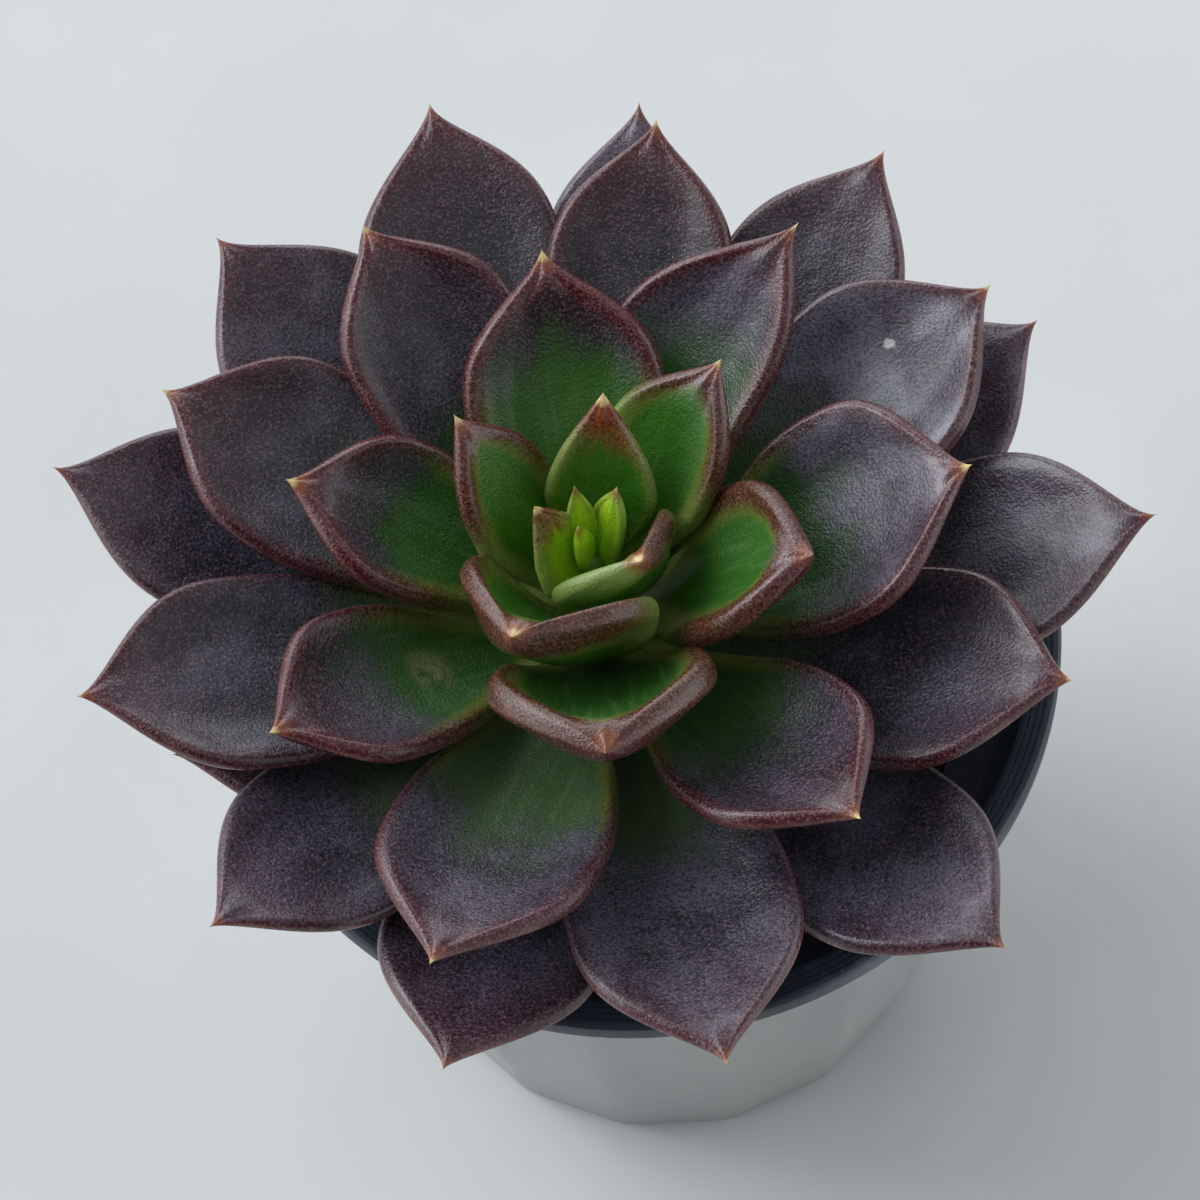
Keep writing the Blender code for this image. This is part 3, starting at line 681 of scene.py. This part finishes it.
def leaf_finish(name):
    """Waxy skin: green flesh, purple-black towards the rim and the point, with a pale tip."""
    skin = Finish(name)
    along = skin.attribute("along")
    edge = skin.attribute("edge")
    across = skin.attribute("across")
    tip = skin.attribute("tip")
    age = skin.attribute("age")
    green_to = skin.attribute("green_to")
    tone = skin.attribute("tone")
    bloom_and_sheen = skin.attribute("bloom_and_sheen")
    rim_wide = skin.attribute("rim_wide")
    lag = skin.attribute("lag")
    rim_from = skin.attribute("rim_from") + across.rises(-1.0, 1.5) * lag
    blunt = skin.attribute("blunt")
    cloud = skin.grain(8, 2.0, 0.55)
    patch = skin.grain(2.2, 2.0, 0.6)
    speck = skin.grain(0.34, 1.0, 0.7)
    lengthwise = skin.add("CombineXYZ", {}, {"X": across * 1.0, "Y": along * 3.5, "Z": tone * 40.0})
    streak = skin.add("TexNoise", {}, {"Vector": lengthwise, "Scale": 1.1, "Detail": 2.0, "Roughness": 0.5})

    # Green flesh, brighter towards the heart.
    green = skin.blend(age.rises(0.0, 0.03), paint(182, 228, 30), paint(50, 106, 20))
    green = skin.blend(age.rises(0.08, 0.35), green, paint(38, 80, 26))
    green = skin.blend(age.rises(0.35, 0.70), green, paint(72, 92, 62))
    green = skin.blend(streak.rises(0.45, 0.8) * 0.3, green, paint(98, 140, 70))
    # The outer part turns purple-black, first along the rim and at the point.
    ripe = along - edge.least(9.0) * 0.012 + (cloud - 0.5) * 0.30 + (streak - 0.5) * 0.20
    dark = ripe.rises(green_to - 0.22, green_to + 0.06)
    murk = skin.blend(cloud.rises(0.3, 0.7), paint(35, 31, 43), paint(54, 53, 66))
    wine = skin.blend(tone * 0.5, paint(58, 22, 36), paint(70, 27, 32))
    purple = skin.blend(ripe.rises(0.50, 1.0), murk, wine)
    # Pale bluish bloom: partly the leaves' own wax, partly painted sheen on those that face the window.
    purple = skin.blend(bloom_and_sheen * (0.10 + cloud.rises(0.35, 0.65) * 0.26), purple, paint(128, 127, 146))
    purple = skin.blend(age.rises(0.14, 0.03), purple, paint(132, 56, 22))
    flesh = skin.blend(dark, green, purple)
    # The rim: yellow-green where it meets the face, then red-brown.
    ragged = edge + (patch - 0.5) * 1.2 + (streak - 0.5) * 0.8
    onset = along.rises(rim_from, rim_from + 0.30)
    halo = (ragged - rim_wide).rises(1.8, 0.0) * (1 - dark)
    flesh = skin.blend(halo * 0.5, flesh, paint(128, 134, 50))
    border = (ragged - rim_wide).rises(1.3, -1.1) * onset
    # Paler green on the young rims before the red-brown starts: partly their own colour, partly painted light
    # shining through the thin edge.
    pale_rim_and_glow = (ragged - rim_wide).rises(1.3, -1.1) * (1 - onset) * (1 - age)
    flesh = skin.blend(pale_rim_and_glow * 0.55, flesh, paint(150, 172, 96))
    flesh = skin.blend(border * (0.94 - age * 0.3), flesh, skin.blend(age, paint(88, 28, 27), paint(76, 29, 38)))
    # Velvety grains all over, in painted light and shade: pale ones are painted glints where the
    # grains catch the light, and dark ones are painted shade between them.
    grain_glint_and_shade = (dark + border).least(1.0) * 0.8 + 0.2
    flesh = skin.blend(speck.rises(0.53, 0.70) * grain_glint_and_shade * 0.26, flesh, paint(176, 134, 134))
    flesh = skin.blend(speck.rises(0.50, 0.32) * grain_glint_and_shade * 0.7, flesh, paint(10, 4, 8))
    # The dried drop or the scar.
    mark_wide = skin.attribute("mark_wide")
    mark_white = skin.attribute("mark_white")
    past_mark = (along - skin.attribute("mark_along")) * 50.0
    beside_mark = across - skin.attribute("mark_across")
    from_mark = (past_mark * past_mark + beside_mark * beside_mark) ** 0.5
    mark = (from_mark + (patch - 0.5) * mark_wide * 1.5).rises(mark_wide, mark_wide * 0.5)
    mark = mark * (mark_white + patch.rises(0.40, 0.60)).least(1.0)
    flesh = skin.blend(mark * 0.7, flesh, skin.blend(mark_white, paint(118, 116, 80), paint(222, 222, 218)))
    # A thin pinkish line along the very edge, and the pale point.
    line = edge.rises(0.6, 0.1) * along.rises(0.15, 0.4) * cloud.rises(0.3, 0.6)
    flesh = skin.blend(line * (0.08 + age * 0.3), flesh, paint(160, 98, 80))
    point = tip + age * 1.2 + blunt
    flesh = skin.blend(point.rises(3.6, 1.6) * 0.7, flesh, paint(142, 78, 42))
    flesh = skin.blend(point.rises(2.0, 1.1), flesh, paint(226, 200, 136))
    groove = (across * across).rises(1.6, 0.0) * patch.rises(0.35, 0.65)
    height = speck * 1.0 + patch * 0.5 + cloud * 4.0 - groove * 0.4
    skin.wear(Base_Color=flesh, Roughness=0.31 - border * 0.08 + (patch - 0.5) * 0.14 + speck * 0.06,
              Specular_IOR_Level=0.52, Normal=skin.bump(height, 0.11))
    skin.wear(Coat_Weight=0.10 + cloud.rises(0.40, 0.68) * 0.32, Coat_Roughness=0.14)
    return skin.material


def leaf_marks(number):
    """What the finish of one leaf reads besides its shape."""
    share = min((number - 1) / (FIRST_HEART_LEAF - 1), 1.0)
    rule = (0.8 + 3.2 * max(share - 0.2, 0) ** 0.7, 0.22, 0.0, 0.0)
    rim_wide, rim_from, blunt, lag = OWN_RIMS.get(number, rule)
    green_to, bloom_and_sheen = LOOKS[number - 1]
    mark_along, mark_across, mark_wide, mark_white = OWN_MARKS.get(number, NO_MARK)
    return {"age": 1 - share, "green_to": green_to, "bloom_and_sheen": bloom_and_sheen, "tone": tones[number - 1],
            "rim_wide": rim_wide, "rim_from": rim_from, "lag": lag, "blunt": blunt,
            "mark_along": mark_along, "mark_across": mark_across, "mark_wide": mark_wide,
            "mark_white": mark_white}


leaf_wax = leaf_finish("leaf_wax")
tones = np.random.default_rng(7).random(len(LEAVES))
for number in range(1, FIRST_HEART_LEAF):
    blade = add_leaf("skin_%02d" % number, number, leaf_wax, leaf_marks(number))
    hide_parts("leaf_%02d" % number)


# The heart.
# The smallest leaves, bright green and still closed round the bud that they grow from. The
# largest of them has the first blush of red-brown at its point.
BUD_OUTLINE = ((0.0, 14.0), (1.3, 14.0), (1.6, 14.6), (1.7, 15.2), (1.65, 16.4), (1.5, 17.5), (1.2, 18.7),
               (0.8, 19.5), (0.4, 19.9), (0.0, 20.0))

bud_skin = Finish("bud_flesh")
bud_patch = bud_skin.grain(1.2, 2.0, 0.5)
bud_skin.wear(Base_Color=bud_skin.blend(bud_patch.rises(0.3, 0.7), paint(74, 122, 36), paint(110, 150, 60)),
              Roughness=0.40 + bud_patch * 0.06, Specular_IOR_Level=0.6, Normal=bud_skin.bump(bud_patch, 0.1))
bud_bm = spun([(radius, RIM_Z + height) for radius, height in BUD_OUTLINE], 24, centre=STEM_AT)
bud = to_object("heart_bud", bud_bm, bud_skin.material)
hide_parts("growing_tip")
for number in range(FIRST_HEART_LEAF, len(LEAVES) + 1):
    bud_leaf = add_leaf("heart_%02d" % number, number, leaf_wax, leaf_marks(number))
    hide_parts("growing_tip")
